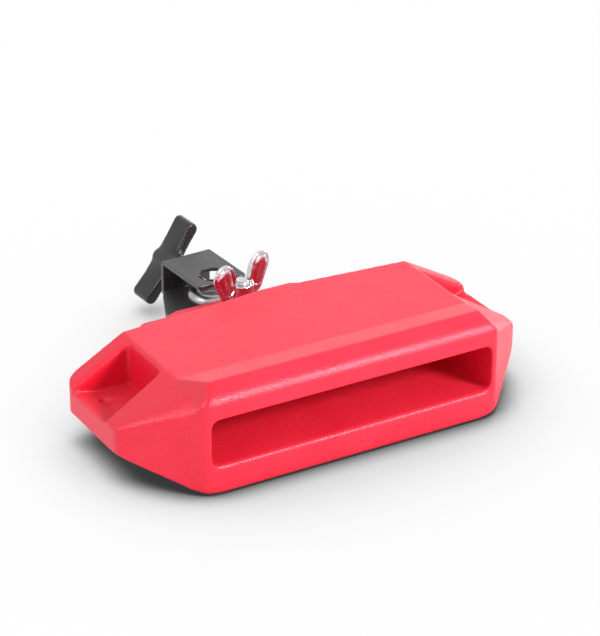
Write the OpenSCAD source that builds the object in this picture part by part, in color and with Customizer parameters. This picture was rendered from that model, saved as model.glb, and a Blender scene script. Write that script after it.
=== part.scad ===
// Percussion block of moulded plastic, a modern woodblock, on a steel clamp for a rod.
// X runs along the block, Y from the mouth to the clamp, Z up; the origin is the middle of the block's base.

/* [Block] */
// Length from wing tip to wing tip
block_len = 235; // [225:1:250]
// Width of the flat front face
face_w = 167; // [160:1:172]
// Depth from the front face to the middle of the rear edge
block_depth = 97.6; // [94:0.2:106]
// Height of the flat top
top_h = 52; // [50:0.5:56]
// How much wider than the front face the flat top is, on each side
top_flare = 0.7; // [0:0.1:1.5]
// How far the rear edge runs forward from the middle to the wings
rear_sweep = 6.6; // [3:0.2:9]
// Depth of the slanted front corners
corner_depth = 34; // [30:0.5:36]
// Bevel along the lower front edge
foot_bevel = 2.2; // [1:0.1:4]

/* [Brow] */
// Height of the ridge over the flat top
ridge_rise = 6.7; // [5:0.1:9]
// Distance of the ridge behind the front face
ridge_back = 9.8; // [9:0.1:12]
// Depth of the strip that falls from the ridge to the flat top
strip_depth = 21.5; // [16:0.5:26]
// How much shorter than the flat top the ridge is, on each side
ridge_inset = 5.6; // [4:0.1:8]
// Slope of the brow in front of the ridge, in degrees
brow_slope = 35; // [32:1:40]
// Radius between the brow and the front face
brow_r = 7.7; // [6:0.1:9]
// Depth of the shoulder where the brow runs into a wing
shoulder_depth = 10; // [8:0.5:14]

/* [Wings] */
// Height of a wing tip's lower edge
tip_low = 17; // [13:0.5:20]
// Height of a wing tip's upper edge
tip_high = 31.4; // [30:0.2:34]
// Height of the rear rib at the wing tip
rib_tip_h = 33.5; // [32:0.5:38]
// Width of the rear rib
rib_w = 10.4; // [8:0.2:14]
// Radius of the rear corner of a wing
wing_r = 7; // [4:0.5:9]
// Distance of the lower slope's start from the edge of the front face
foot_inset = 0.5; // [0:0.1:3]

/* [Pockets] */
// Land between the slanted corner and the pocket
pocket_land = 10.5; // [8:0.5:13]
// Wall between the flat top's edge and the pocket
pocket_wall = 1.8; // [1.5:0.1:4]
// Height of the pocket floor
pocket_floor_h = 27.5; // [25:0.5:29]
// Height of the rim at the wing tip
pocket_rim_h = 30.2; // [29.2:0.1:30.8]
// Width of the ramp up to the rim
pocket_ramp = 12; // [8:0.5:16]
// Radius of the pocket's upright inner corners
pocket_r = 2.5; // [1:0.5:4]

/* [Mouth] */
// Width of the mouth
mouth_w = 162.4; // [150:0.2:163]
// Height of the mouth's lower edge
mouth_low = 16.1; // [12:0.1:18]
// Height of the mouth
mouth_h = 25.6; // [22:0.1:27]
// Radius of the mouth's corners
mouth_r = 4.5; // [3:0.5:7]
// Thickness of the wall behind the chamber
chamber_wall = 11; // [8:0.5:16]

/* [Lug] */
// Width of the lug behind the block
lug_w = 120; // [110:1:124]
// Reach of the lug behind the block, at its middle
lug_reach = 31; // [29.5:0.5:31.5]
// How much less the lug reaches at its ends
lug_step = 3.6; // [2:0.1:5]
// Width of the lug's deeper middle
lug_mid_w = 70; // [64:1:80]
// Radius of the lug's rear corners
lug_r = 6; // [4:0.5:9]
// Height of the lug's underside
lug_low = 22; // [21.5:0.1:24]
// Thickness of the lug
lug_t = 13; // [12:0.2:14]
// Room between the wing nut's ears and the block
nut_room = 0.3; // [0.2:0.1:1]
// Hole for the bolt in the lug
lug_hole_d = 9; // [8.8:0.1:10]

/* [Bracket] */
// Thickness of the steel plate
plate_t = 2.5; // [2:0.1:3]
// Width of the bracket's upper plate
plate_w = 30; // [28:0.5:34]
// Height over both plates
bracket_h = 21.5; // [21:0.1:24]
// Distance from the bolt to the rod's axis
rod_back = 29.2; // [29:0.1:31]
// Distance from the rod's axis to the rear face of the bracket
rod_to_back = 31; // [29:0.5:32]
// Hole for the rod in both plates
rod_hole_d = 16.7; // [16:0.1:17]
// Edge of the upper plate in front of the rod's axis
plate_front = 9.7; // [9.5:0.1:10]
// Outer radius of the bends
bend_r = 3.2; // [3.1:0.1:5]
// Width of the lower plate under the lug
foot_w = 54; // [50:1:58]
// Reach of the lower plate in front of the bolt
foot_front = 10; // [9:0.5:11]
// Turn of the bracket about the bolt, in degrees
bracket_turn = 3; // [-15:0.5:15]

/* [Bolt and nut] */
// Nominal diameter of the bolt
bolt_d = 8; // [7.8:0.1:8.2]
// Length of the bolt under its head
bolt_len = 30; // [29:0.5:34]
// Diameter of the bolt's round head
bolt_head_d = 17; // [15:0.5:19]
// Height of the bolt's round head
bolt_head_h = 4.2; // [3.5:0.1:5]
// Outer diameter of the flat washer
washer_d = 17; // [16:0.5:18]
// Thickness of the flat washer
washer_t = 1.6; // [1.2:0.1:2]
// Outer diameter of the lock washer
lock_d = 14.6; // [13.5:0.1:15]
// Thickness of the lock washer
lock_t = 2; // [1.6:0.1:2.4]
// Diameter of the wing nut's hub at its foot
nut_hub_d = 15; // [14:0.5:16]
// Height of the wing nut's hub
nut_hub_h = 9; // [8:0.5:10]
// Height of the wing nut
nut_h = 23.2; // [22:0.2:24]
// Span of the wing nut over both ears
nut_span = 41; // [38:0.5:42]
// Thickness of an ear
ear_t = 3.4; // [3:0.1:4]
// Turn of the wing nut, in degrees
nut_turn = 16; // [0:1:90]

/* [Eye bolt] */
// Thickness of the eye's wire
eye_wire_d = 7.4; // [7:0.1:8]
// Inner diameter of the eye
eye_d = 14; // [13:0.2:14.6]
// Depth of the flat land inside the eye
eye_land = 0.4; // [0.3:0.1:0.6]
// Diameter of the shank
shank_d = 8; // [7.8:0.1:8.2]
// Length of the shank from the rod's axis
shank_len = 42.5; // [42:0.5:44]
// How much lower than the middle of the bracket the shank lies
shank_drop = 1.2; // [0:0.1:1.6]

/* [Knob] */
// Length of the knob's bar
knob_len = 51.5; // [44:0.5:56]
// Depth of the knob along the shank
knob_depth = 27.5; // [26.5:0.5:30]
// Diameter of the knob's collar, where the hub starts
knob_hub_d = 13.8; // [13:0.2:16]
// Diameter of the hub at its outer end
knob_end_d = 9.6; // [9.4:0.2:12]
// Thickness of the bar at its ends
knob_end_t = 6.8; // [6:0.2:9]
// Thickness of the bar at the hub
knob_root_t = 5.6; // [5:0.2:8]
// Distance of the bar's ends from the washer
bar_end_gap = 12.5; // [10:0.5:13]
// Distance of the bar from the washer at the hub
bar_root_gap = 9; // [7:0.5:10]
// Turn of the knob's bar from level, in degrees
knob_turn = 53; // [0:1:90]
// Diameter of the threaded insert
insert_d = 10.4; // [10:0.1:11]
// Length of the threaded insert
insert_len = 13; // [12:0.5:15]
// Outer diameter of the knob's washer
knob_washer_d = 17; // [16:0.5:19]
// Thickness of the knob's washer
knob_washer_t = 1.2; // [1:0.1:1.5]

/* [Fits] */
// Running clearance round a thread, on the radius
thread_gap = 0.06; // [0.03:0.01:0.1]
// Clearance round a washer or a shank in its hole, on the radius
hole_gap = 0.25; // [0.2:0.05:0.4]

/* [Hidden] */
$fn = 64;
arc_steps = 6;
overrun = 1;

// Block
half_len = block_len / 2;
half_face = face_w / 2;
half_top = half_face + top_flare;
half_ridge = half_top - ridge_inset;
half_foot = half_face - foot_inset;
ridge_h = top_h + ridge_rise;
brow_front = brow_r * (1 - sin(brow_slope));
brow_top = ridge_h - (ridge_back - brow_front) * tan(brow_slope);
face_top = brow_top - brow_r * cos(brow_slope);
strip_end = ridge_back + strip_depth;
wing_back = block_depth - rear_sweep;
pocket_front = corner_depth + pocket_land;
pocket_rear = wing_back - rib_w;
pocket_in = half_top + pocket_wall;
rear_mid_w = 12;
lug_rear = block_depth + lug_reach;
lug_high = lug_low + lug_t;
bolt_y = block_depth + nut_span / 2 + nut_room;

// Bracket, measured from the bolt's axis
plate_low = lug_low - plate_t;
plate_high = plate_low + bracket_h;
mid_z = plate_low + bracket_h / 2;
shank_z = mid_z - shank_drop;
bracket_rear = rod_back + rod_to_back;
bend_in = bend_r - plate_t;
foot_r = 5;
plate_r = 2;
flare_len = 17;
neck_hole = bolt_d + hole_gap;
shank_hole_d = shank_d + 2 * hole_gap;

// Nut and washers
washer_hole_d = bolt_d + 2 * hole_gap;
lock_z = lug_high + washer_t;
nut_z = lock_z + lock_t;
lock_slit = 1.4;
lock_slit_slope = 25;
nut_bore_r = bolt_d / 2 + thread_gap;
nut_hub_top_d = 13;
ear_top_r = 7;
ear_foot_r = 6;
ear_foot_x = 9.6;
ear_foot_z = 6.2;
ear_dish = 0.8;
ear_rim = 1.9;
dish_foot_share = 0.33;
bolt_tip_bevel = 1;
head_edge_h = 0.8;

// Eye and knob
eye_mid_r = (eye_d + eye_wire_d) / 2 - eye_land;
knob_y = bracket_rear + knob_washer_t;
knob_bore_len = 20;
arm_root_r = knob_root_t / 2;
arm_end_r = knob_end_t / 2;

// Points of an arc about a centre, from one angle to another
function arc(centre, r, from, to, steps = arc_steps) =
    [for (i = [0 : steps]) centre + r * [cos(from + (to - from) * i / steps), sin(from + (to - from) * i / steps)]];

// An outline and its mirror image across the Y axis
function both_halves(points) =
    concat(points, [for (i = [len(points) - 1 : -1 : 0]) [-points[i].x, points[i].y]]);

// Outline round two circles of different size
function round_bar(a, ra, b, rb) =
    let (along = b - a, lean = atan2(along.y, along.x), spread = acos((ra - rb) / norm(along)))
    concat(arc(a, ra, lean + spread, lean + 360 - spread, 3 * arc_steps),
        arc(b, rb, lean - spread, lean + spread, 2 * arc_steps));

// Moves the model from the front face to the middle of the base
module from_base() {
    translate([0, -block_depth / 2, 0])
        children();
}

// An outline in X and Z, drawn out along Y
module along_y(points, from, to) {
    translate([0, to, 0])
        rotate([90, 0, 0])
            linear_extrude(to - from)
                polygon(points);
}

// An outline in Y and Z, drawn out along X to both sides
module along_x(points, half_width) {
    translate([-half_width, 0, 0])
        rotate([90, 0, 90])
            linear_extrude(2 * half_width)
                polygon(points);
}

// Everything on the outer side of the plane through three points
module beyond_plane(a, b, c, size) {
    normal = cross(b - a, c - a);
    translate(a)
        rotate([0, acos(normal.z / norm(normal)), atan2(normal.y, normal.x)])
            translate([-size / 2, -size / 2, 0])
                cube(size);
}

// Section of the block from the front, with its wings' upper edge at the given height
function wing_section(tip) = both_halves([
    [half_foot, 0],
    [half_len, tip_low],
    [half_len, tip],
    [half_top, top_h]]);

module plan_prism() {
    rear_corner = [half_len - wing_r, wing_back - wing_r];
    linear_extrude(ridge_h)
        polygon(both_halves(concat(
            [[half_face, 0], [half_len, corner_depth]],
            arc(rear_corner, wing_r, 0, 90),
            [[half_top, wing_back], [rear_mid_w / 2, block_depth]])));
}

module profile_prism() {
    along_x(concat(
        [[foot_bevel, 0], [block_depth, 0], [block_depth, ridge_h], [ridge_back, ridge_h]],
        arc([brow_r, face_top], brow_r, 90 + brow_slope, 180),
        [[0, foot_bevel]]), half_len);
}

// Raised brow: the strip behind the ridge, between its two slanted ends
module brow() {
    low = top_h / 2;
    end_run = (ridge_h - low) * ridge_inset / ridge_rise;
    intersection() {
        along_x([[0, low], [strip_end, low], [strip_end, top_h], [ridge_back, ridge_h], [0, ridge_h]], half_len);
        along_y(both_halves([[half_ridge + end_run, low], [half_ridge, ridge_h]]), 0, strip_end);
    }
}

module wings() {
    difference() {
        union() {
            along_y(wing_section(tip_high), 0, block_depth);
            along_y(wing_section(rib_tip_h), pocket_rear, block_depth);
        }
        for (side = [0, 1])
            mirror([side, 0, 0])
                beyond_plane([half_face, 0, face_top], [half_len, corner_depth, tip_high],
                    [half_top, shoulder_depth, top_h], block_len);
    }
}

module pocket() {
    open_end = half_len + overrun;
    intersection() {
        along_y([
            [pocket_in, pocket_floor_h],
            [half_len - pocket_ramp, pocket_floor_h],
            [half_len, pocket_rim_h],
            [open_end, pocket_rim_h],
            [open_end, ridge_h],
            [pocket_in, ridge_h]], pocket_front, pocket_rear);
        linear_extrude(ridge_h)
            polygon(concat(
                arc([pocket_in + pocket_r, pocket_rear - pocket_r], pocket_r, 90, 180),
                arc([pocket_in + pocket_r, pocket_front + pocket_r], pocket_r, 180, 270),
                [[open_end, pocket_front], [open_end, pocket_rear]]));
    }
}

module mouth() {
    corner = [mouth_w / 2 - mouth_r, mouth_low + mouth_r];
    top_corner = [corner.x, mouth_low + mouth_h - mouth_r];
    along_y(both_halves(concat(
        arc(corner, mouth_r, -90, 0),
        arc(top_corner, mouth_r, 0, 90))), -overrun, wing_back - chamber_wall);
}

module lug() {
    end_y = lug_rear - lug_step;
    translate([0, 0, lug_low])
        linear_extrude(lug_t)
            polygon(both_halves(concat(
                [[lug_w / 2, wing_back - chamber_wall / 2]],
                arc([lug_w / 2 - lug_r, end_y - lug_r], lug_r, 0, 90),
                [[lug_mid_w / 2 + 2 * lug_step, end_y], [lug_mid_w / 2, lug_rear]])));
}

module block() {
    color("crimson")
        from_base()
            difference() {
                union() {
                    intersection() {
                        plan_prism();
                        profile_prism();
                        union() {
                            wings();
                            brow();
                        }
                    }
                    lug();
                }
                mouth();
                pocket();
                mirror([1, 0, 0])
                    pocket();
                translate([0, bolt_y, lug_low - overrun])
                    cylinder(h = lug_t + 2 * overrun, d = lug_hole_d);
            }
}

// Places what turns with the bracket: Y runs from the bolt's axis to the knob
module on_bolt(turn) {
    from_base()
        translate([0, bolt_y, 0])
            rotate([0, 0, turn])
                children();
}

// Bent strip: upper plate, rear plate and the start of the lower plate, in Y and Z
module bracket_strip() {
    front = rod_back - plate_front;
    outer = bracket_rear - bend_r;
    along_x(concat(
        [[front, plate_high], [front, plate_high - plate_t]],
        arc([outer, plate_high - bend_r], bend_in, 90, 0),
        arc([outer, plate_low + bend_r], bend_in, 0, -90),
        [[front, plate_low + plate_t], [front, plate_low]],
        arc([outer, plate_low + bend_r], bend_r, -90, 0),
        arc([outer, plate_high - bend_r], bend_r, 0, 90)), plate_w / 2);
}

// Lower plate, which widens under the lug
module bracket_foot() {
    flare_back = bracket_rear - bend_r;
    half_foot_w = foot_w / 2;
    translate([0, 0, plate_low])
        linear_extrude(plate_t)
            polygon(both_halves(concat(
                arc([half_foot_w - foot_r, foot_r - foot_front], foot_r, -90, 0),
                [[half_foot_w, flare_back - flare_len - foot_r],
                [plate_w / 2 + plate_r, flare_back - plate_r],
                [plate_w / 2, flare_back]])));
}

// What rounding takes off an upright corner that points along X and against Y
module corner_waste(r, height) {
    difference() {
        translate([-r, -overrun, 0])
            cube([r + overrun, r + overrun, height]);
        translate([-r, r, -overrun])
            cylinder(h = height + 2 * overrun, r = r);
    }
}

module bracket() {
    front = rod_back - plate_front;
    color("dimgray")
        on_bolt(bracket_turn)
            difference() {
                union() {
                    bracket_strip();
                    bracket_foot();
                }
                for (side = [0, 1])
                    mirror([side, 0, 0])
                        translate([plate_w / 2, front, mid_z])
                            corner_waste(plate_r, bracket_h);
                translate([0, rod_back, plate_low - overrun])
                    cylinder(h = bracket_h + 2 * overrun, d = rod_hole_d);
                translate([0, bracket_rear + overrun, shank_z])
                    rotate([90, 0, 0])
                        cylinder(h = plate_t + 2 * overrun, d = shank_hole_d);
                translate([-neck_hole / 2, -neck_hole / 2, plate_low - overrun])
                    cube([neck_hole, neck_hole, plate_t + 2 * overrun]);
            }
}

// Round-headed bolt with a square neck in the bracket's foot
module bracket_bolt() {
    shank_top = plate_low + bolt_len;
    color("silver")
        on_bolt(bracket_turn)
            union() {
                translate([0, 0, plate_low])
                    cylinder(h = bolt_len - bolt_tip_bevel, d = bolt_d);
                translate([0, 0, shank_top - bolt_tip_bevel])
                    cylinder(h = bolt_tip_bevel, d1 = bolt_d, d2 = bolt_d - 2 * bolt_tip_bevel);
                translate([-bolt_d / 2, -bolt_d / 2, plate_low])
                    cube([bolt_d, bolt_d, plate_t]);
                translate([0, 0, plate_low - head_edge_h])
                    cylinder(h = head_edge_h, d = bolt_head_d);
                translate([0, 0, plate_low - bolt_head_h])
                    cylinder(h = bolt_head_h - head_edge_h, d1 = bolt_head_d / 2, d2 = bolt_head_d);
            }
}

// Flat ring, with its hole
module ring(outer_d, hole_d, thickness) {
    difference() {
        cylinder(h = thickness, d = outer_d);
        translate([0, 0, -overrun])
            cylinder(h = thickness + 2 * overrun, d = hole_d);
    }
}

module flat_washer() {
    color("gainsboro")
        on_bolt(0)
            translate([0, 0, lug_high])
                ring(washer_d, washer_hole_d, washer_t);
}

module lock_washer() {
    color("silver")
        on_bolt(nut_turn)
            translate([0, 0, lock_z])
                difference() {
                    ring(lock_d, washer_hole_d, lock_t);
                    translate([lock_d / 4, 0, lock_t / 2])
                        rotate([lock_slit_slope, 0, 0])
                            translate([0, -lock_slit / 2, -lock_t])
                                cube([lock_d / 2, lock_slit, 2 * lock_t]);
                }
}

// One ear, leaning outward, with a dished face on both sides
module ear() {
    foot = [ear_foot_x, ear_foot_z];
    top = [nut_span / 2 - ear_top_r, nut_h - ear_top_r];
    difference() {
        along_y(round_bar(foot, ear_foot_r, top, ear_top_r), -ear_t / 2, ear_t / 2);
        for (side = [0, 1])
            mirror([0, side, 0])
                along_y(round_bar(foot + (top - foot) * dish_foot_share, ear_foot_r - ear_rim, top, ear_top_r - ear_rim),
                    ear_t / 2 - ear_dish, ear_t / 2 + overrun);
    }
}

module wing_nut() {
    color("silver")
        on_bolt(nut_turn)
            translate([0, 0, nut_z])
                difference() {
                    union() {
                        cylinder(h = nut_hub_h, d1 = nut_hub_d, d2 = nut_hub_top_d);
                        ear();
                        mirror([1, 0, 0])
                            ear();
                    }
                    translate([0, 0, -overrun])
                        cylinder(h = nut_h, r = nut_bore_r);
                    translate([0, 0, -nut_span])
                        cube(2 * nut_span, center = true);
                }
}

// Forged eye on a threaded shank, which the knob draws back
module eye_bolt() {
    color("silver")
        on_bolt(bracket_turn)
            translate([0, rod_back, shank_z])
                difference() {
                    union() {
                        rotate_extrude()
                            translate([eye_mid_r, 0])
                                circle(d = eye_wire_d);
                        translate([0, eye_mid_r, 0])
                            rotate([-90, 0, 0])
                                cylinder(h = shank_len - eye_mid_r, d = shank_d);
                    }
                    cylinder(h = 2 * eye_wire_d, d = eye_d, center = true);
                }
}

// Turns what lies on the shank so that Z runs along it, away from the bracket
module on_shank(from, turn = 0) {
    on_bolt(bracket_turn)
        translate([0, from, shank_z])
            rotate([0, -turn, 0])
                rotate([-90, 0, 0])
                    children();
}

module knob_washer() {
    color("silver")
        on_shank(bracket_rear)
            ring(knob_washer_d, shank_hole_d, knob_washer_t);
}

module knob_insert() {
    color("goldenrod")
        on_shank(knob_y)
            ring(insert_d, shank_d + 2 * thread_gap, insert_len);
}

// Both blades of the bar, whose lower edges rise from the hub to the ends
module knob_bar() {
    arm_end = [knob_len / 2 - arm_end_r, 0];
    intersection() {
        linear_extrude(knob_depth) {
            polygon(round_bar([0, 0], arm_root_r, arm_end, arm_end_r));
            polygon(round_bar([0, 0], arm_root_r, -arm_end, arm_end_r));
        }
        along_y(both_halves([
            [arm_root_r, bar_root_gap],
            [knob_len / 2 + overrun, bar_end_gap],
            [knob_len / 2 + overrun, knob_depth]]), -knob_end_t, knob_end_t);
    }
}

// Moulded bar knob: two blades from a round hub, which is a collar towards the bracket
module knob() {
    color("darkslategray")
        on_shank(knob_y, knob_turn)
            difference() {
                union() {
                    cylinder(h = knob_depth, d1 = knob_hub_d, d2 = knob_end_d);
                    knob_bar();
                }
                translate([0, 0, -overrun])
                    cylinder(h = insert_len + overrun, d = insert_d);
                cylinder(h = knob_bore_len, d = shank_hole_d);
            }
}

block();
bracket();
bracket_bolt();
flat_washer();
lock_washer();
wing_nut();
eye_bolt();
knob_washer();
knob_insert();
knob();
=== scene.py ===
"""Looks of a moulded percussion block on its rod clamp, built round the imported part."""

import math

import bmesh
import bpy
import numpy as np
from mathutils import Matrix, Vector


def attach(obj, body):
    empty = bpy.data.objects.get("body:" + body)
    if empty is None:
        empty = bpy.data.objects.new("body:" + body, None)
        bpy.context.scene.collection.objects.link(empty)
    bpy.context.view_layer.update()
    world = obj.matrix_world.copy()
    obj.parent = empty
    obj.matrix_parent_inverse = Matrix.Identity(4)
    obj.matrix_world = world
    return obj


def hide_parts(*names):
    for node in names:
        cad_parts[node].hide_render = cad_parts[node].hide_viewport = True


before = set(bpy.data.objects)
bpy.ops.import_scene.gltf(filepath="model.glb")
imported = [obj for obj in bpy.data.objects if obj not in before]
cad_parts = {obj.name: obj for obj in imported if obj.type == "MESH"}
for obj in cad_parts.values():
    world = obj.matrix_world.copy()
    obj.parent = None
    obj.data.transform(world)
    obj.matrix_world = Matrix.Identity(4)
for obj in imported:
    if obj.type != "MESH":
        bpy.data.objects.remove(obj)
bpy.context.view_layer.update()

MM = 0.001


# Camera and lamps

PHOTO_W, PHOTO_H = 600, 636
FOCAL_PIXELS = 2602.4
SENSOR = 36.0
CLIP_NEAR, CLIP_FAR = 0.05, 30
CAMERA_AT = Vector((-0.5950, -1.0229, 0.6488))
CAMERA_LOOK = Vector((0.4471, 0.7745, -0.4474))
LAMP_TARGET = Vector((0, 0, 0.03))


def aim(obj, direction):
    """Turns a camera or a lamp so that it looks in a direction, and links it to the scene."""
    obj.rotation_mode = "QUATERNION"
    obj.rotation_quaternion = direction.to_track_quat("-Z", "Y")
    bpy.context.scene.collection.objects.link(obj)


def add_camera():
    data = bpy.data.cameras.new("photo_camera")
    data.sensor_width = SENSOR
    data.lens = FOCAL_PIXELS * SENSOR / max(PHOTO_W, PHOTO_H)
    data.clip_start, data.clip_end = CLIP_NEAR, CLIP_FAR
    camera = bpy.data.objects.new("photo_camera", data)
    camera.location = CAMERA_AT
    aim(camera, CAMERA_LOOK)
    bpy.context.scene.camera = camera


def add_softbox(name, toward, distance, width, height, power):
    """An area lamp that stands in the given direction from the target and faces it."""
    data = bpy.data.lights.new(name, "AREA")
    data.shape = "RECTANGLE"
    data.size, data.size_y = width, height
    data.energy = power
    lamp = bpy.data.objects.new(name, data)
    direction = Vector(toward).normalized()
    lamp.location = LAMP_TARGET + direction * distance
    aim(lamp, -direction)


# Node trees

class Nodes:
    """Short hand for building a node tree."""

    NOISE_LOW, NOISE_HIGH = 0.3, 0.7

    def __init__(self, tree):
        self.tree = tree
        tree.nodes.clear()

    def add(self, kind, **settings):
        """Adds a node. Its inputs are sockets to link or values to set."""
        node = self.tree.nodes.new(kind)
        inputs = settings.pop("inputs", {})
        for key, value in settings.items():
            setattr(node, key, value)
        for key, value in inputs.items():
            if isinstance(value, bpy.types.NodeSocket):
                self.tree.links.new(value, node.inputs[key])
            else:
                node.inputs[key].default_value = value
        return node

    def math(self, operation, a, b=0.0):
        return self.add("ShaderNodeMath", operation=operation, inputs={0: a, 1: b}).outputs[0]

    def band(self, value, low, high, to_low, to_high):
        """Maps low..high of a value smoothly to to_low..to_high."""
        node = self.add("ShaderNodeMapRange", interpolation_type="SMOOTHSTEP", inputs={
            "Value": value, "From Min": low, "From Max": high, "To Min": to_low, "To Max": to_high})
        return node.outputs["Result"]

    def spread(self, noise, to_low, to_high):
        """Maps the range that a noise mostly fills to to_low..to_high."""
        return self.band(noise, self.NOISE_LOW, self.NOISE_HIGH, to_low, to_high)

    def mix_colour(self, share, a, b):
        return self.add("ShaderNodeMix", data_type="RGBA", inputs={0: share, 6: a, 7: b}).outputs[2]

    def object_axes(self):
        """X, Y and Z of the place on the surface, in the object's own space."""
        place = self.add("ShaderNodeTexCoord").outputs["Object"]
        return self.add("ShaderNodeSeparateXYZ", inputs={0: place}).outputs

    def noise(self, scale, detail, contrast=0.5):
        """Noise in the object's own space; scale is in features a metre."""
        place = self.add("ShaderNodeTexCoord").outputs["Object"]
        return self.add("ShaderNodeTexNoise", inputs={
            "Vector": place, "Scale": scale, "Detail": detail, "Roughness": contrast}).outputs["Fac"]

    def bump(self, height, distance, strength, normal=None):
        inputs = {"Height": height, "Distance": distance, "Strength": strength}
        if normal is not None:
            inputs["Normal"] = normal
        return self.add("ShaderNodeBump", inputs=inputs).outputs["Normal"]

    def principled(self, **inputs):
        """A surface shader wired to the output. The inputs' names are written with underscores."""
        named = {key.replace("_", " "): value for key, value in inputs.items()}
        shader = self.add("ShaderNodeBsdfPrincipled", inputs=named)
        self.add("ShaderNodeOutputMaterial", inputs={"Surface": shader.outputs[0]})


def new_material(name):
    material = bpy.data.materials.new(name)
    material.use_nodes = True
    return material, Nodes(material.node_tree)


# World and floor: white where the camera and mirrors look, with a painted shadow on the floor there,
# and at a plain level as light on the object

WORLD_LEVEL = 0.80
FLOOR_HALF = 4.0
FLOOR_ALBEDO = (0.90, 0.90, 0.905, 1)
FLOOR_WHITE = (1.0, 0.995, 1.0, 1)
AO_SAMPLES = 16
CONTACT_REACH, CONTACT_FROM, CONTACT_TO, CONTACT_DARK = 0.018, 0.30, 0.97, 0.06
AROUND_REACH, AROUND_FROM, AROUND_TO, AROUND_DARK = 0.24, 0.50, 1.0, 0.66


def seen_directly(n):
    """1 for rays from the camera and for those that mirrors and glass pass on, else 0."""
    path = n.add("ShaderNodeLightPath").outputs
    seen = n.math("MAXIMUM", path["Is Camera Ray"], path["Is Glossy Ray"])
    return n.math("MAXIMUM", seen, path["Is Transmission Ray"])


def add_world():
    world = bpy.data.worlds.new("studio")
    bpy.context.scene.world = world
    world.use_nodes = True
    n = Nodes(world.node_tree)
    strength = n.band(seen_directly(n), 0.0, 1.0, WORLD_LEVEL, 1.0)
    shade = n.add("ShaderNodeBackground", inputs={"Color": (1, 1, 1, 1), "Strength": strength})
    n.add("ShaderNodeOutputWorld", inputs={"Surface": shade.outputs[0]})


def floor_shade(n, reach, low, high, dark):
    """A painted soft shadow: dark where things close in on the floor within reach, and 1 in the open.
    """
    open_share = n.add("ShaderNodeAmbientOcclusion", samples=AO_SAMPLES, inputs={"Distance": reach})
    return n.band(open_share.outputs["AO"], low, high, dark, 1.0)


def add_floor():
    half = FLOOR_HALF
    corners = [(-half, -half, 0), (half, -half, 0), (half, half, 0), (-half, half, 0)]
    mesh = bpy.data.meshes.new("floor")
    mesh.from_pydata(corners, [], [(0, 1, 2, 3)])
    floor = bpy.data.objects.new("floor", mesh)
    bpy.context.scene.collection.objects.link(floor)
    material, n = new_material("pale_floor")
    contact = floor_shade(n, CONTACT_REACH, CONTACT_FROM, CONTACT_TO, CONTACT_DARK)
    around = floor_shade(n, AROUND_REACH, AROUND_FROM, AROUND_TO, AROUND_DARK)
    painted_shadow = n.math("MULTIPLY", contact, around)
    # The glow that camera and mirror rays see on the floor is dimmed near the object into a painted
    # shadow.
    light = n.add("ShaderNodeEmission", inputs={"Color": FLOOR_WHITE, "Strength": painted_shadow})
    diffuse = n.add("ShaderNodeBsdfDiffuse", inputs={"Color": FLOOR_ALBEDO})
    both = n.add("ShaderNodeMixShader", inputs={
        0: seen_directly(n), 1: diffuse.outputs[0], 2: light.outputs[0]})
    n.add("ShaderNodeOutputMaterial", inputs={"Surface": both.outputs[0]})
    floor.data.materials.append(material)


# Materials of the object. Scales are in features a metre, and heights of bumps in metres.

CLOUD_DETAIL, GRAIN_DETAIL, FINE_DETAIL = 3.0, 2.0, 1.0
GRAIN_CONTRAST = 0.6
UPWARD_LOW, UPWARD_HIGH = 0.86, 0.94


def on_top(n, elsewhere, there):
    """One value where the surface faces up, and another elsewhere: flat tops have the coarser skin."""
    facing = n.add("ShaderNodeTexCoord").outputs["Normal"]
    upward = n.add("ShaderNodeSeparateXYZ", inputs={0: facing}).outputs[2]
    return n.band(upward, UPWARD_LOW, UPWARD_HIGH, elsewhere, there)


RED_DEEP = (0.705, 0.008, 0.028, 1)
RED_LIGHT = (0.735, 0.010, 0.034, 1)
RED_CLOUD, RED_GRAIN, RED_FINE = 38, 1050, 2300
RED_FINE_SHARE = 0.5
RED_GRAIN_HEIGHT, RED_GRAIN_STRENGTH = 0.24 * MM, 0.9
RED_ROUGH = (0.30, 0.40)
RED_ROUGH_CLOUD_SHARE = 0.5
RED_TOP_ROUGHER = 0.22
RED_IOR, RED_TOP_IOR = 1.52, 1.70
RED_SHEEN_TINT = (0.9, 0.84, 1.0, 1)
SEAM_Z = 28 * MM
SEAM_HALF = 0.16 * MM
SEAM_HEIGHT, SEAM_STRENGTH = 0.12 * MM, 0.8
SEAM_FROM_X, SEAM_FADE = 83.0 * MM, 2 * MM


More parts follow.
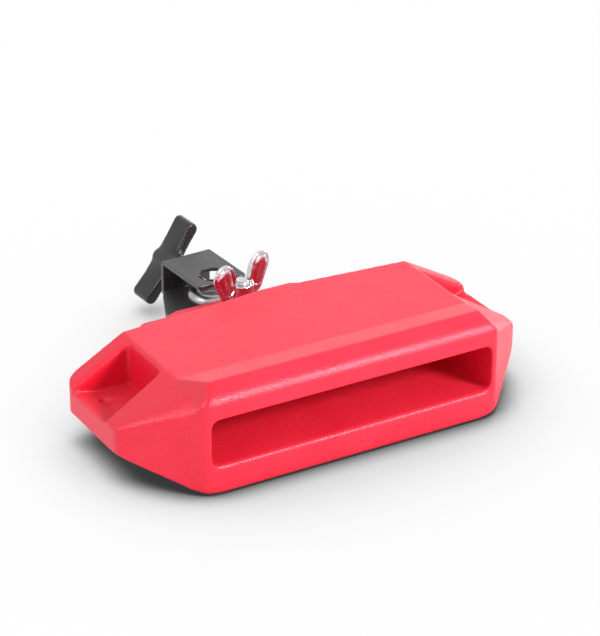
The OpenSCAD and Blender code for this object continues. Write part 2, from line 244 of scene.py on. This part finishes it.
def block_plastic():
    """Moulded red plastic: a fine grain, and the mould's parting line round the wings."""
    material, n = new_material("red_plastic")
    axes = n.object_axes()
    off_seam = n.math("ABSOLUTE", n.math("SUBTRACT", axes[2], SEAM_Z))
    on_seam = n.band(off_seam, 0.0, SEAM_HALF, 1.0, 0.0)
    on_wings = n.band(n.math("ABSOLUTE", axes[0]), SEAM_FROM_X, SEAM_FROM_X + SEAM_FADE, 0.0, 1.0)
    seam = n.math("MULTIPLY", on_seam, on_wings)
    cloud = n.noise(RED_CLOUD, CLOUD_DETAIL)
    grain = n.noise(RED_GRAIN, GRAIN_DETAIL, GRAIN_CONTRAST)
    fine = n.noise(RED_FINE, FINE_DETAIL)
    colour = n.mix_colour(n.spread(cloud, 0.0, 1.0), RED_DEEP, RED_LIGHT)
    skin = n.math("ADD", grain, n.math("MULTIPLY", fine, RED_FINE_SHARE))
    grained = n.bump(skin, RED_GRAIN_HEIGHT, RED_GRAIN_STRENGTH)
    normal = n.bump(seam, SEAM_HEIGHT, SEAM_STRENGTH, grained)
    patches = n.math("ADD", n.math("MULTIPLY", cloud, RED_ROUGH_CLOUD_SHARE),
                     n.math("MULTIPLY", grain, 1 - RED_ROUGH_CLOUD_SHARE))
    roughness = n.math("ADD", n.spread(patches, *RED_ROUGH), on_top(n, 0.0, RED_TOP_ROUGHER))
    n.principled(Base_Color=colour, Roughness=roughness, IOR=on_top(n, RED_IOR, RED_TOP_IOR),
                 Specular_Tint=RED_SHEEN_TINT, Normal=normal)
    return material


BLACK_DEEP = (0.006, 0.0045, 0.0065, 1)
BLACK_LIGHT = (0.010, 0.008, 0.0105, 1)
COAT_CLOUD, COAT_SPECK = 90, 1600
COAT_HEIGHT, COAT_STRENGTH = 0.12 * MM, 0.8
COAT_ROUGH = (0.36, 0.48)
COAT_TOP_ROUGHER = 0.16
COAT_IOR = 2.0
EDGE_GREY = (0.16, 0.15, 0.16, 1)
EDGE_FROM, EDGE_TO, EDGE_SHARE = 0.53, 0.60, 0.5


def coated_steel():
    """Black coated sheet steel, greyer along its sharp edges."""
    material, n = new_material("black_coat")
    speck = n.noise(COAT_SPECK, GRAIN_DETAIL, GRAIN_CONTRAST)
    cloud = n.noise(COAT_CLOUD, CLOUD_DETAIL)
    edge = n.add("ShaderNodeNewGeometry").outputs["Pointiness"]
    # Greyer where the surface is sharply convex, along the edges.
    on_edges = n.band(edge, EDGE_FROM, EDGE_TO, 0.0, 1.0)
    coat = n.mix_colour(n.spread(cloud, 0.0, 1.0), BLACK_DEEP, BLACK_LIGHT)
    colour = n.mix_colour(n.math("MULTIPLY", on_edges, EDGE_SHARE), coat, EDGE_GREY)
    roughness = n.math("ADD", n.spread(speck, *COAT_ROUGH), on_top(n, 0.0, COAT_TOP_ROUGHER))
    n.principled(Base_Color=colour, Roughness=roughness, IOR=COAT_IOR,
                 Normal=n.bump(speck, COAT_HEIGHT, COAT_STRENGTH))
    return material


KNOB_CLOUD, KNOB_SPECK = 70, 1900
KNOB_HEIGHT, KNOB_STRENGTH = 0.10 * MM, 0.7
KNOB_ROUGH = (0.26, 0.36)
KNOB_IOR = 1.5


def knob_plastic():
    """Black moulded plastic with a low sheen."""
    material, n = new_material("black_plastic")
    speck = n.noise(KNOB_SPECK, GRAIN_DETAIL, GRAIN_CONTRAST)
    cloud = n.noise(KNOB_CLOUD, CLOUD_DETAIL)
    colour = n.mix_colour(n.spread(cloud, 0.0, 1.0), BLACK_DEEP, BLACK_LIGHT)
    n.principled(Base_Color=colour, Roughness=n.spread(speck, *KNOB_ROUGH), IOR=KNOB_IOR,
                 Normal=n.bump(speck, KNOB_HEIGHT, KNOB_STRENGTH))
    return material


METAL_CLOUD, METAL_FINE = 140, 900
RIPPLE_STRENGTH = 0.25


def chrome(name, rough, dark, pale, ripple):
    """Plated metal that drifts between two colours and two roughnesses, with a shallow ripple."""
    material, n = new_material(name)
    cloud = n.noise(METAL_CLOUD, CLOUD_DETAIL)
    fine = n.noise(METAL_FINE, GRAIN_DETAIL)
    colour = n.mix_colour(n.spread(cloud, 0.0, 1.0), dark, pale)
    n.principled(Base_Color=colour, Metallic=1.0, Roughness=n.spread(fine, *rough),
                 Normal=n.bump(cloud, ripple, RIPPLE_STRENGTH))
    return material


BRASS_DEEP = (0.62, 0.40, 0.13, 1)
BRASS_LIGHT = (0.80, 0.58, 0.25, 1)
BRASS_FINE = 800
BRASS_ROUGH = (0.25, 0.4)


def brass():
    material, n = new_material("turned_brass")
    fine = n.noise(BRASS_FINE, GRAIN_DETAIL)
    n.principled(Base_Color=n.mix_colour(fine, BRASS_DEEP, BRASS_LIGHT), Metallic=1.0,
                 Roughness=n.spread(fine, *BRASS_ROUGH))
    return material


# Shapes

WELD_REACH = 0.002 * MM
FLAT_ANGLE = math.radians(1.0)
SHARP_ANGLE = math.radians(30)
NORMAL_WEIGHT = 100
RELAX_FACTOR = 0.5


def cad_mesh(node):
    """A welded copy of a CAD node's mesh, with flat faces in one piece."""
    bm = bmesh.new()
    bm.from_mesh(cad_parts[node].data)
    bmesh.ops.remove_doubles(bm, verts=bm.verts, dist=WELD_REACH)
    bmesh.ops.dissolve_limit(bm, angle_limit=FLAT_ANGLE, verts=bm.verts, edges=bm.edges)
    bm.normal_update()
    return bm


def add_object(name, bm):
    """Makes an object of a mesh, without the stored normals that came from the CAD node."""
    mesh = bpy.data.meshes.new(name)
    for layer in list(bm.loops.layers.float_vector):
        bm.loops.layers.float_vector.remove(layer)
    bm.to_mesh(mesh)
    bm.free()
    for attribute in [a.name for a in mesh.attributes if a.name == "custom_normal"]:
        mesh.attributes.remove(mesh.attributes[attribute])
    obj = bpy.data.objects.new(name, mesh)
    bpy.context.scene.collection.objects.link(obj)
    return obj


def apply_modifiers(obj):
    graph = bpy.context.evaluated_depsgraph_get()
    evaluated = obj.evaluated_get(graph)
    mesh = bpy.data.meshes.new_from_object(evaluated, preserve_all_data_layers=True, depsgraph=graph)
    obj.modifiers.clear()
    old, obj.data = obj.data, mesh
    name = old.name
    bpy.data.meshes.remove(old)
    mesh.name = name


def place(obj, body, slot, material, node):
    """Puts a finished piece on its body, in place of the CAD node named."""
    obj.data.materials.clear()
    obj.data.materials.append(material)
    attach(obj, body)
    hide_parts(node)


def smooth(obj, sharp_from=None):
    """Shades a piece smooth, but for the edges that are sharper than an angle in degrees."""
    obj.data.shade_smooth()
    if sharp_from is not None:
        obj.data.set_sharp_from_angle(angle=math.radians(sharp_from))


def keep_flats(obj):
    """Shades a piece smooth, with normals weighed so that its flats stay flat."""
    smooth(obj)
    weighted = obj.modifiers.new("flat_faces", "WEIGHTED_NORMAL")
    weighted.keep_sharp = False
    weighted.weight = NORMAL_WEIGHT


def soften(obj, width, segments):
    """Rounds the sharp edges of a piece."""
    bm = bmesh.new()
    bm.from_mesh(obj.data)
    weight = bm.edges.layers.float.new("bevel_weight_edge")
    for edge in bm.edges:
        if len(edge.link_faces) == 2 and edge.calc_face_angle(0) > SHARP_ANGLE:
            edge[weight] = 1.0
    bm.to_mesh(obj.data)
    bm.free()
    bevel = obj.modifiers.new("soft_edges", "BEVEL")
    bevel.limit_method = "WEIGHT"
    bevel.width = width
    bevel.segments = segments
    bevel.use_clamp_overlap = False
    bevel.harden_normals = False
    keep_flats(obj)
    apply_modifiers(obj)


def add_relax(obj, rounds):
    modifier = obj.modifiers.new("relax", "SMOOTH")
    modifier.factor = RELAX_FACTOR
    modifier.iterations = rounds
    return modifier


def forge(obj, voxel, rounds):
    """Turns a sharp solid into a smooth cast or forged one."""
    remesh = obj.modifiers.new("skin", "REMESH")
    remesh.mode = "VOXEL"
    remesh.voxel_size = voxel
    remesh.use_smooth_shade = True
    add_relax(obj, rounds)
    apply_modifiers(obj)
    smooth(obj)


def mark_shares(obj, share_of):
    """Stores what share_of says for each vertex in a vertex group, and gives the group's name."""
    group = obj.vertex_groups.new(name="shares")
    for vertex in obj.data.vertices:
        share = share_of(vertex.co)
        if share > 0:
            group.add([vertex.index], share, "REPLACE")
    return group.name


def relax(obj, rounds, share_of=None):
    """Smooths a mesh, everywhere or as far as share_of says for each vertex."""
    modifier = add_relax(obj, rounds)
    if share_of:
        modifier.vertex_group = mark_shares(obj, share_of)
    apply_modifiers(obj)
    obj.vertex_groups.clear()


def vertex_values(obj, name):
    values = np.empty(3 * len(obj.data.vertices), dtype=np.float32)
    obj.data.vertices.foreach_get(name, values)
    return values.reshape(-1, 3)


def fill(obj, cycles, rounds, share_of):
    """Relaxes a mesh again and again, and only outward: hollows fill up and nothing shrinks."""
    group_name = mark_shares(obj, share_of)
    for _ in range(cycles):
        start, normal = vertex_values(obj, "co"), vertex_values(obj, "normal")
        add_relax(obj, rounds).vertex_group = group_name
        apply_modifiers(obj)
        end = vertex_values(obj, "co")
        inward = ((end - start) * normal).sum(axis=1) < 0
        end[inward] = start[inward]
        obj.data.vertices.foreach_set("co", end.ravel())
        obj.data.update()
    obj.vertex_groups.clear()


def thin_out(obj, share):
    """Keeps only this share of the faces, which flat stretches can spare."""
    thin = obj.modifiers.new("thin", "DECIMATE")
    thin.ratio = share
    keep_flats(obj)
    apply_modifiers(obj)


# M8 hardware, with rolled threads

M8_R = 4.0 * MM
PITCH = 1.25 * MM
CREST_GAP = 0.02 * MM
THREAD_DEPTH = 0.68 * MM
THREAD_SEGMENTS, THREAD_STEPS = 48, 8
CREST_GAIN, CREST_CUT = 1.3, 0.15
LATHE_SEGMENTS = 64


def thread(bm, length, matrix):
    """A threaded M8 rod along Z from 0 to length, added to a mesh. The thread runs out at both ends."""
    major, minor = M8_R - CREST_GAP, M8_R - THREAD_DEPTH
    rows = []
    count = math.ceil(length / PITCH * THREAD_STEPS)
    for row in range(count + 1):
        z = length * row / count
        ring = []
        for k in range(THREAD_SEGMENTS):
            turn = k / THREAD_SEGMENTS
            phase = (z / PITCH - turn) % 1.0
            rise = 1 - abs(2 * phase - 1)
            flank = min(1.0, max(0.0, rise * CREST_GAIN - CREST_CUT))
            fade = min(1.0, z / PITCH, (length - z) / PITCH)
            radius = minor + (major - minor) * flank * fade
            angle = 2 * math.pi * turn
            at = Vector((radius * math.cos(angle), radius * math.sin(angle), z))
            ring.append(bm.verts.new(matrix @ at))
        rows.append(ring)
    for low, high in zip(rows, rows[1:]):
        for k in range(THREAD_SEGMENTS):
            m = (k + 1) % THREAD_SEGMENTS
            bm.faces.new((low[k], low[m], high[m], high[k]))
    bm.faces.new(list(reversed(rows[0])))
    bm.faces.new(rows[-1])


def lathe(bm, outline, matrix):
    """Turns an outline of (radius, z) points about Z. It starts and ends on the axis."""
    angles = [2 * math.pi * k / LATHE_SEGMENTS for k in range(LATHE_SEGMENTS)]
    rings = []
    for radius, z in outline:
        if radius == 0:
            points = [Vector((0, 0, z))]
        else:
            points = [Vector((radius * math.cos(a), radius * math.sin(a), z)) for a in angles]
        rings.append([bm.verts.new(matrix @ point) for point in points])
    for a, b in zip(rings, rings[1:]):
        for k in range(LATHE_SEGMENTS):
            m = (k + 1) % LATHE_SEGMENTS
            corners = [a[k % len(a)], a[m % len(a)], b[m % len(b)], b[k % len(b)]]
            bm.faces.new(list(dict.fromkeys(corners)))


add_camera()
add_world()
add_floor()


# Block. The edges that are rounded further are given for the right half; the left half is alike.

FACE_EDGE_LOW = Vector((83.5, -48.8, 1)) * MM
FACE_EDGE_HIGH = Vector((84.5, -47.8, 51.6)) * MM
TIP_FRONT_LOW = Vector((117.5, -14.8, 17)) * MM
TIP_FRONT_HIGH = Vector((117.5, -14.8, 31.4)) * MM
LIP_MIDDLE = Vector((0, -48.8, 16.1)) * MM
LIP_END = Vector((78, -48.8, 16.1)) * MM
RIB_IN = Vector((90, 32, 49.4)) * MM
RIB_OUT = Vector((117.5, 32, 33.5)) * MM
SHOULDER_TOP = Vector((84.2, -38.8, 52)) * MM
SHOULDER_FRONT = Vector((90.5, -41.8, 44.4)) * MM
CREASE_END = SHOULDER_TOP.lerp(TIP_FRONT_HIGH, 0.75)
BROW_END = SHOULDER_TOP.lerp(SHOULDER_FRONT, 0.5)
CORNER_REACH = 6 * MM
SHOULDER_REACH = 9 * MM

BLOCK_VOXEL = 0.7 * MM
EJECTOR_AT = Vector((104.8, 20.7, 27.4)) * MM
EJECTOR_R = 3.2 * MM
EJECTOR_DEPTH = 1.1 * MM
EJECTOR_SEGMENTS = 48


def to_segment(point, a, b):
    """Distance from a point to the stretch from a to b."""
    along = b - a
    share = min(1.0, max(0.0, (point - a).dot(along) / along.dot(along)))
    return (point - a - along * share).length


def right_half(point):
    return Vector((abs(point.x), point.y, point.z))


def corner_share(point):
    """1 on the upright edges of front and tips, the mouth's lip and the ribs, and 0 farther away."""
    p = right_half(point)
    off = min(to_segment(p, FACE_EDGE_LOW, FACE_EDGE_HIGH),
              to_segment(p, TIP_FRONT_LOW, TIP_FRONT_HIGH),
              to_segment(p, LIP_MIDDLE, LIP_END),
              to_segment(p, RIB_IN, RIB_OUT))
    return max(0.0, 1 - off / CORNER_REACH)


def shoulder_share(point):
    """1 where the brow runs out into the wing and on the face's lower corner, and 0 farther away."""
    p = right_half(point)
    off = min(to_segment(p, SHOULDER_TOP, CREASE_END),
              to_segment(p, SHOULDER_TOP, BROW_END),
              (p - FACE_EDGE_LOW).length)
    return max(0.0, 1 - off / SHOULDER_REACH)


def cut_spots(obj):
    """Cuts the round marks of the mould's ejector pins into both pockets' floors."""
    bm = bmesh.new()
    for side in (-1, 1):
        at = Matrix.Translation((side * EJECTOR_AT.x, EJECTOR_AT.y, EJECTOR_AT.z))
        bmesh.ops.create_cone(bm, cap_ends=True, segments=EJECTOR_SEGMENTS, radius1=EJECTOR_R,
                              radius2=EJECTOR_R, depth=2 * EJECTOR_DEPTH, matrix=at)
    pins = add_object("ejector_pins", bm)
    cut = obj.modifiers.new("spots", "BOOLEAN")
    cut.operation = "DIFFERENCE"
    cut.object = pins
    apply_modifiers(obj)
    bpy.data.objects.remove(pins)


block = add_object("block_body", cad_mesh("block"))
cut_spots(block)
forge(block, BLOCK_VOXEL, rounds=5)
relax(block, rounds=60, share_of=corner_share)
relax(block, rounds=160, share_of=shoulder_share)
thin_out(block, share=0.3)
place(block, "block", "block_plastic", block_plastic(), "block")


# Bracket and washers

STEEL_DARK = (0.62, 0.61, 0.63, 1)
STEEL_PALE = (0.74, 0.73, 0.75, 1)
bright = chrome("bright_steel", (0.16, 0.28), STEEL_DARK, STEEL_PALE, ripple=0.2 * MM)

bracket = add_object("bracket_plate", cad_mesh("bracket"))
soften(bracket, width=0.6 * MM, segments=4)
place(bracket, "bracket", "bracket_coat", coated_steel(), "bracket")

for node, body, piece in (("flat_washer", "block", "flat_washer_ring"),
                          ("lock_washer", "lock_washer", "lock_washer_ring"),
                          ("knob_washer", "bracket", "knob_washer_ring")):
    ring = add_object(piece, cad_mesh(node))
    soften(ring, width=0.25 * MM, segments=3)
    place(ring, body, "bright_steel", bright, node)


# Round-headed bolt: a domed head under the bracket's foot, a square neck and a threaded shank

BOLT_Y = 69.6 * MM
BRACKET_TURN = math.radians(3)
PLATE_LOW = 19.5 * MM
PLATE_T = 2.5 * MM
BOLT_LEN = 30 * MM
HEAD_R, HEAD_H = 8.5 * MM, 4.2 * MM
HEAD_BRIM = 0.8 * MM
HEAD_EDGE_H, HEAD_EDGE_IN = 0.25 * MM, 0.2 * MM
DOME_TURNS = [math.radians(10 * step) for step in range(10)]


def bolt_frame(turn):
    """The frame on the bolt's axis at the floor, turned like the pieces that it carries."""
    return Matrix.Translation((0, BOLT_Y, 0)) @ Matrix.Rotation(turn, 4, "Z")


def bolt_outline():
    """The head's outline, from the bottom of its dome round the brim to the plate."""
    dome_low, dome_h = PLATE_LOW - HEAD_BRIM, HEAD_H - HEAD_BRIM
    dome = [(HEAD_R * math.sin(turn), dome_low - dome_h * math.cos(turn)) for turn in DOME_TURNS]
    edge = [(HEAD_R, PLATE_LOW - HEAD_EDGE_H), (HEAD_R - HEAD_EDGE_IN, PLATE_LOW)]
    return dome + edge + [(0, PLATE_LOW)]


at_bolt = bolt_frame(BRACKET_TURN)
bm = bmesh.new()
lathe(bm, bolt_outline(), at_bolt)
neck_at = at_bolt @ Matrix.Translation((0, 0, PLATE_LOW + PLATE_T / 2))
bmesh.ops.create_cube(bm, size=1.0, matrix=neck_at @ Matrix.Diagonal((2 * M8_R, 2 * M8_R, PLATE_T, 1)))
thread(bm, BOLT_LEN - PLATE_T, at_bolt @ Matrix.Translation((0, 0, PLATE_LOW + PLATE_T)))
bolt = add_object("bracket_bolt_body", bm)
smooth(bolt, sharp_from=50)
place(bolt, "bracket", "bright_steel", bright, "bracket_bolt")


# Wing nut. Its ears are shaped in the nut's own frame, with X from ear to ear.

NUT_Z = 38.6 * MM
NUT_TURN = math.radians(16)
NUT_VOXEL = 0.28 * MM
EAR_FOOT = Vector((9.6, 0, 6.2)) * MM
EAR_TOP = Vector((13.5, 0, 16.2)) * MM
EAR_FOOT_R, EAR_TOP_R = 6 * MM, 7 * MM
EAR_CAST_HALF_T = 1.7 * MM
EAR_EDGE_T = 0.5 * MM
EAR_CROWN = 1.9 * MM
EAR_DIMPLE = 0.5 * MM
DIMPLE_REACH = 0.55
FACE_LEAN = 0.5
SHAPED_FROM_R, SHAPED_FADE = 6.6 * MM, 2.4 * MM
RELAXED_FROM_R, RELAXED_FADE = 6.5 * MM, 2.5 * MM
NUT_DARK = (0.60, 0.58, 0.61, 1)


def shape_ears(obj, to_nut):
    """Gives the forged nut's ears a cushioned face with a shallow dimple, thinner towards the rim."""
    back = to_nut.inverted()
    turned = to_nut.to_3x3()
    along = EAR_TOP - EAR_FOOT
    leans = [abs((turned @ vertex.normal).y) for vertex in obj.data.vertices]
    for vertex, lean in zip(obj.data.vertices, leans):
        p = to_nut @ vertex.co
        out = min(1.0, max(0.0, (math.hypot(p.x, p.y) - SHAPED_FROM_R) / SHAPED_FADE))
        if out == 0:
            continue
        flat = Vector((abs(p.x), 0, p.z))
        share = min(1.0, max(0.0, (flat - EAR_FOOT).dot(along) / along.dot(along)))
        reach = EAR_FOOT_R + (EAR_TOP_R - EAR_FOOT_R) * share
        q = min(1.0, (flat - EAR_FOOT - along * share).length / reach)
        dimple = EAR_DIMPLE * max(0.0, 1 - q / DIMPLE_REACH) ** 2
        half = EAR_EDGE_T + EAR_CROWN * (1 - q * q) - dimple
        on_face = lean > FACE_LEAN
        shaped = math.copysign(half, p.y) if on_face else p.y * EAR_EDGE_T / EAR_CAST_HALF_T
        p.y += (shaped - p.y) * out
        vertex.co = back @ p
    obj.data.update()


def ear_share(point):
    """0 round the hub and 1 out on the ears."""
    off_axis = math.hypot(point.x, point.y - BOLT_Y)
    return min(1.0, max(0.0, (off_axis - RELAXED_FROM_R) / RELAXED_FADE))


nut = add_object("wing_nut_body", cad_mesh("wing_nut"))
forge(nut, NUT_VOXEL, rounds=6)
shape_ears(nut, (bolt_frame(NUT_TURN) @ Matrix.Translation((0, 0, NUT_Z))).inverted())
relax(nut, rounds=24, share_of=ear_share)
nut_chrome = chrome("nut_chrome", (0.07, 0.16), NUT_DARK, STEEL_PALE, ripple=0.3 * MM)
place(nut, "wing_nut", "nut_chrome", nut_chrome, "wing_nut")


# Eye bolt: a forged eye and shank, cut off where the rolled thread takes over

ROD_BACK = 29.2 * MM
SHANK_Z = 29.05 * MM
SHANK_LEN = 42.5 * MM
THREAD_START = 17 * MM
THREAD_OVERLAP = 1 * MM
EYE_VOXEL = 0.35 * MM
# The eye's chrome is painted darker than the other steel: painted shade for the bracket's plate that
# hangs over it.
EYE_SHADED_DARK = (0.32, 0.30, 0.32, 1)
EYE_SHADED_PALE = (0.46, 0.44, 0.46, 1)

eye = add_object("eye_bolt_eye", cad_mesh("eye_bolt"))
forge(eye, EYE_VOXEL, rounds=5)
bm = bmesh.new()
bm.from_mesh(eye.data)
at_eye = at_bolt @ Matrix.Translation((0, ROD_BACK, SHANK_Z))
shank_way = at_eye @ Matrix.Rotation(-math.pi / 2, 4, "X")
cut_at = shank_way @ Vector((0, 0, THREAD_START + THREAD_OVERLAP))
cut_normal = (shank_way.to_3x3() @ Vector((0, 0, 1))).normalized()
bmesh.ops.bisect_plane(bm, geom=bm.verts[:] + bm.edges[:] + bm.faces[:], plane_co=cut_at,
                       plane_no=cut_normal, clear_outer=True)
bmesh.ops.holes_fill(bm, edges=[e for e in bm.edges if e.is_boundary])
thread(bm, SHANK_LEN - THREAD_START, shank_way @ Matrix.Translation((0, 0, THREAD_START)))
bm.to_mesh(eye.data)
bm.free()
smooth(eye, sharp_from=60)
eye_chrome = chrome("eye_chrome", (0.26, 0.40), EYE_SHADED_DARK, EYE_SHADED_PALE, ripple=0.3 * MM)
place(eye, "eye_bolt", "eye_chrome", eye_chrome, "eye_bolt")


# Knob and its insert

KNOB_VOXEL = 0.5 * MM
HUB_REACH, HUB_FADE = 22 * MM, 9 * MM
HUB_FROM, HUB_RISE = 0.5 * MM, 2 * MM
KNOB_FACE_BACK = 61.4 * MM
KNOB_FACE_AT = at_bolt @ Vector((0, KNOB_FACE_BACK, SHANK_Z))
SHANK_AXIS = (at_bolt.to_3x3() @ Vector((0, 1, 0))).normalized()


def hub_share(point):
    """1 round the knob's hub, where the bar grows out of it, and 0 at the washer and out on the bar."""
    off = point - KNOB_FACE_AT
    along = off.dot(SHANK_AXIS)
    out = (off - SHANK_AXIS * along).length
    near_hub = min(1.0, max(0.0, (HUB_REACH - out) / HUB_FADE))
    off_washer = min(1.0, max(0.0, (along - HUB_FROM) / HUB_RISE))
    return near_hub * off_washer


knob = add_object("knob_body", cad_mesh("knob"))
forge(knob, KNOB_VOXEL, rounds=6)
fill(knob, cycles=60, rounds=40, share_of=hub_share)
relax(knob, rounds=70, share_of=hub_share)
relax(knob, rounds=10)
place(knob, "knob", "knob_plastic", knob_plastic(), "knob")

insert = add_object("knob_insert_body", cad_mesh("knob_insert"))
soften(insert, width=0.2 * MM, segments=2)
place(insert, "knob", "insert_brass", brass(), "knob_insert")


# Lights. Sizes and distances are in metres, and powers in watts.

add_softbox("key", (0.447, -0.747, 0.50), distance=1.3, width=0.30, height=0.24, power=17.0)
add_softbox("left", (-0.74, 0.10, 0.42), distance=1.4, width=0.24, height=0.24, power=5.0)
add_softbox("back", (0.447, 0.85, 0.13), distance=2.0, width=1.3, height=0.45, power=3.6)
add_softbox("side", (0.95, 0.27, 0.12), distance=1.5, width=0.26, height=0.26, power=5.0)
bpy.context.scene.view_settings.view_transform = "Standard"
